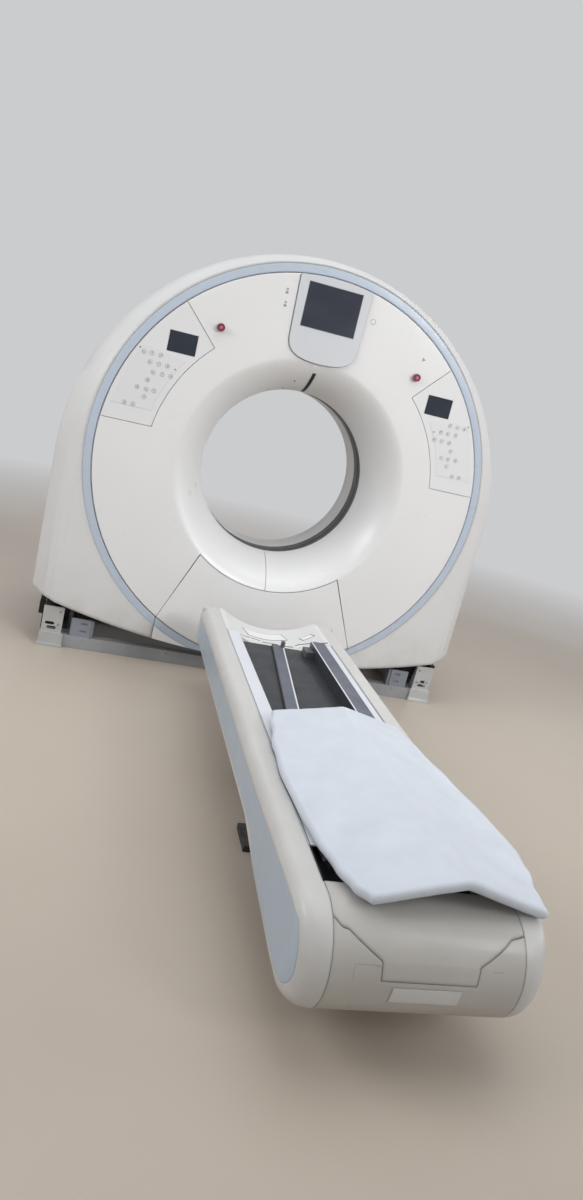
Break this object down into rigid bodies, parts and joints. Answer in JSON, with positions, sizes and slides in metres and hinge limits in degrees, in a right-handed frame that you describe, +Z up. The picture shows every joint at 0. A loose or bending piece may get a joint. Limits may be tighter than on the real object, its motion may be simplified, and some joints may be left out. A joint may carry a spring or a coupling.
{
  "type": "ct scanner",
  "caption": "Whole-body X-ray CT scanner with a round tilting gantry, a rotating drum inside and a low lifting patient couch on a shared floor frame.",
  "frame": {"origin": "on the floor straight under the point that the scanner images, which is also the centre of the gantry's four anchor holes", "axes": "+Z up, +Y from the couch through the bore towards the rear of the gantry, +X across the gantry to the right as seen from the couch"},
  "size_m": [2.144, 3.2877, 1.997],
  "materials": {
    "cover_white": "satin",
    "front_white": "satin",
    "trim_blue": "satin",
    "panel_white": "matte",
    "dark_glass": "gloss",
    "bezel_silver": "satin",
    "window_black": "satin",
    "frame_steel": "satin",
    "stand_dark": "satin",
    "bracket_zinc": "satin",
    "bronze": "satin",
    "pin_steel": "satin",
    "drum_alu": "satin",
    "copper_ring": "satin",
    "box_grey": "satin",
    "belt_rubber": "matte",
    "stop_red": "gloss",
    "collar_grey": "satin",
    "couch_beige": "satin",
    "inset_blue": "satin",
    "trough_white": "satin",
    "strip_white": "satin",
    "deck_dark": "satin",
    "rail_grey": "satin",
    "foam": "matte"
  },
  "bodies": {
    "base": {"floor_frame": "frame_steel", "stands": "stand_dark", "pin_bushings": "bronze", "side_plates": "stand_dark", "corner_brackets": "bracket_zinc", "inner_brackets": "stand_dark", "tilt_gearmotor": "box_grey", "couch_floor_plate": "frame_steel", "lift_sleeve_fixed": "pin_steel", "lift_pump_box": "box_grey"},
    "gantry": {"tilt_frame": "frame_steel", "tilt_pins": "pin_steel", "bearing_outer": "pin_steel", "outer_cover": "cover_white", "rear_cover": "cover_white", "front_cover": "front_white", "service_panel": "front_white", "trim_ring": "trim_blue", "trim_ring_lower": "trim_blue", "control_panels": "panel_white", "displays": "dark_glass", "keypads": "panel_white", "monitor_bezel": "bezel_silver", "monitor_screen": "dark_glass", "laser_window": "window_black", "scan_window": "window_black", "rear_funnel": "cover_white", "stop_collars": "collar_grey", "brush_block": "box_grey", "drive_motor": "box_grey", "drive_belt": "belt_rubber"},
    "pulley": {"drive_pulley": "pin_steel"},
    "rotor": {"rotor_drum": "drum_alu", "bearing_inner": "pin_steel", "slip_ring": "copper_ring", "tube_housing": "box_grey", "collimator": "box_grey", "detector_arc": "box_grey", "voltage_generator": "box_grey", "oil_cooler": "box_grey", "inverter_box": "box_grey", "counterweight": "box_grey"},
    "left_stop": {"left_stop_button": "stop_red"},
    "right_stop": {"right_stop_button": "stop_red"},
    "lift_lower": {"lift_sleeve_lower": "pin_steel"},
    "lift_upper": {"lift_sleeve_upper": "pin_steel"},
    "couch": {"couch_chassis": "frame_steel", "left_side_cover": "couch_beige", "right_side_cover": "couch_beige", "inset_panels": "inset_blue", "end_cover_upper": "couch_beige", "end_cover_lower": "couch_beige", "underside_tray": "couch_beige", "head_trough": "trough_white", "side_strips": "strip_white", "deck_plates": "deck_dark", "right_rail": "rail_grey", "loose_rail": "rail_grey", "foam_mat": "foam"},
    "carriage": {"carriage": "pin_steel"}
  },
  "joints": [
    {"name": "gantry_tilt", "type": "hinge", "parent": "base", "child": "gantry", "pos_m": [0, 0, 1.005], "axis": [1, 0, 0], "range_deg": [-12, 20]},
    {"name": "rotor_spin", "type": "hinge", "parent": "gantry", "child": "rotor", "pos_m": [0, 0, 1.005], "axis": [0, 1, 0], "continuous": true},
    {"name": "pulley_spin", "type": "hinge", "parent": "gantry", "child": "pulley", "pos_m": [0.55286, 0.08, 0.29737], "axis": [0, 1, 0], "continuous": true},
    {"name": "left_stop_press", "type": "slide", "parent": "gantry", "child": "left_stop", "axis": [0, 1, 0], "range_m": [0, 0.006], "stiffness_N_per_m": 900, "springref_m": -0.003},
    {"name": "right_stop_press", "type": "slide", "parent": "gantry", "child": "right_stop", "axis": [0, 1, 0], "range_m": [0, 0.006], "stiffness_N_per_m": 900, "springref_m": -0.003},
    {"name": "lift_stage_1", "type": "slide", "parent": "base", "child": "lift_lower", "axis": [0, 0, 1], "range_m": [0, 0.18]},
    {"name": "lift_stage_2", "type": "slide", "parent": "lift_lower", "child": "lift_upper", "axis": [0, 0, 1], "range_m": [0, 0.18]},
    {"name": "lift_stage_3", "type": "slide", "parent": "lift_upper", "child": "couch", "axis": [0, 0, 1], "range_m": [0, 0.18]},
    {"name": "carriage_travel", "type": "slide", "parent": "couch", "child": "carriage", "axis": [0, 1, 0], "range_m": [0, 0.9]}
  ],
  "couplings": [
    {"joint": "lift_stage_2", "follows": "lift_stage_1", "ratio": 1},
    {"joint": "lift_stage_3", "follows": "lift_stage_1", "ratio": 1},
    {"joint": "pulley_spin", "follows": "rotor_spin", "ratio": 16.324}
  ]
}
